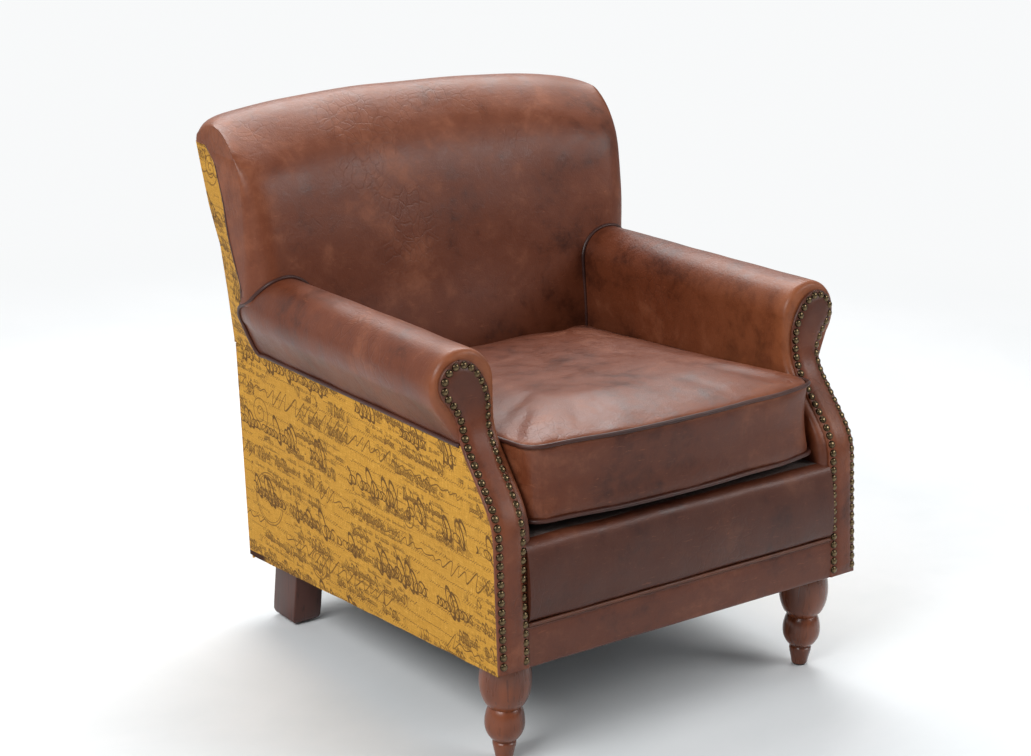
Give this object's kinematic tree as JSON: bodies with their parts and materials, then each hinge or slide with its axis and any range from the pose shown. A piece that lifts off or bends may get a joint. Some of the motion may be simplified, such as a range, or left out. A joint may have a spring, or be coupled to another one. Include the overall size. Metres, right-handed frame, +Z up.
{
  "type": "club chair",
  "caption": "Low scroll-arm club chair with a leather front, nail-trimmed arm facings, turned front legs and a loose seat cushion.",
  "frame": {"origin": "on the floor, under the centre of the chair's bounding box", "axes": "+Z up; the sitter looks along -Y; +X is the sitter's left"},
  "size_m": [0.7006, 0.7738, 0.7846],
  "materials": {
    "front_leg_wood": "satin polished reddish hardwood",
    "rear_leg_wood": "satin dark mahogany stain",
    "frame_timber": "bare beech",
    "leather": "waxed aniline leather with burnished edges",
    "leather_cord": "leather-covered piping cord",
    "outside_fabric": "coarse mustard linen with a brown print",
    "webbing": "jute webbing",
    "deck_cloth": "brown platform cloth over padding",
    "dust_cloth": "black dust cover cloth",
    "bolt_steel": "zinc plated",
    "glide_nylon": "dark nylon",
    "nail_brass": "antique brass"
  },
  "bodies": {
    "chair": {"right_front_leg": "front_leg_wood", "left_front_leg": "front_leg_wood", "right_rear_leg": "rear_leg_wood", "left_rear_leg": "rear_leg_wood", "right_back_post": "frame_timber", "left_back_post": "frame_timber", "right_arm_post": "frame_timber", "left_arm_post": "frame_timber", "right_side_seat_rail": "frame_timber", "left_side_seat_rail": "frame_timber", "right_arm_rail": "frame_timber", "left_arm_rail": "frame_timber", "right_arm_tack_rail": "frame_timber", "left_arm_tack_rail": "frame_timber", "front_seat_rail": "frame_timber", "rear_seat_rail": "frame_timber", "back_crest_rail": "frame_timber", "back_lower_rail": "frame_timber", "corner_blocks": "frame_timber", "right_arm_pad": "leather", "left_arm_pad": "leather", "right_arm_facing": "leather", "left_arm_facing": "leather", "inside_back_pad": "leather", "front_rail_border": "leather", "front_rail_band": "leather", "right_underarm_welt": "leather_cord", "left_underarm_welt": "leather_cord", "right_back_welt": "leather_cord", "left_back_welt": "leather_cord", "front_rail_welt": "leather_cord", "right_outside_panel": "outside_fabric", "left_outside_panel": "outside_fabric", "outside_back_panel": "outside_fabric", "seat_cross_webbing": "webbing", "seat_long_webbing": "webbing", "back_long_webbing": "webbing", "back_cross_webbing": "webbing", "seat_deck": "deck_cloth", "dust_cover": "dust_cloth", "leg_bolts": "bolt_steel", "leg_glides": "glide_nylon", "right_nail_trim": "nail_brass", "left_nail_trim": "nail_brass"},
    "seat_cushion": {"seat_cushion": "leather", "cushion_bottom_welt": "leather_cord", "cushion_top_welt": "leather_cord"}
  },
  "joints": [
    {"name": "cushion_lift", "type": "slide", "parent": "chair", "child": "seat_cushion", "axis": [0, 0, 1], "range_m": [0, 0.47]}
  ]
}
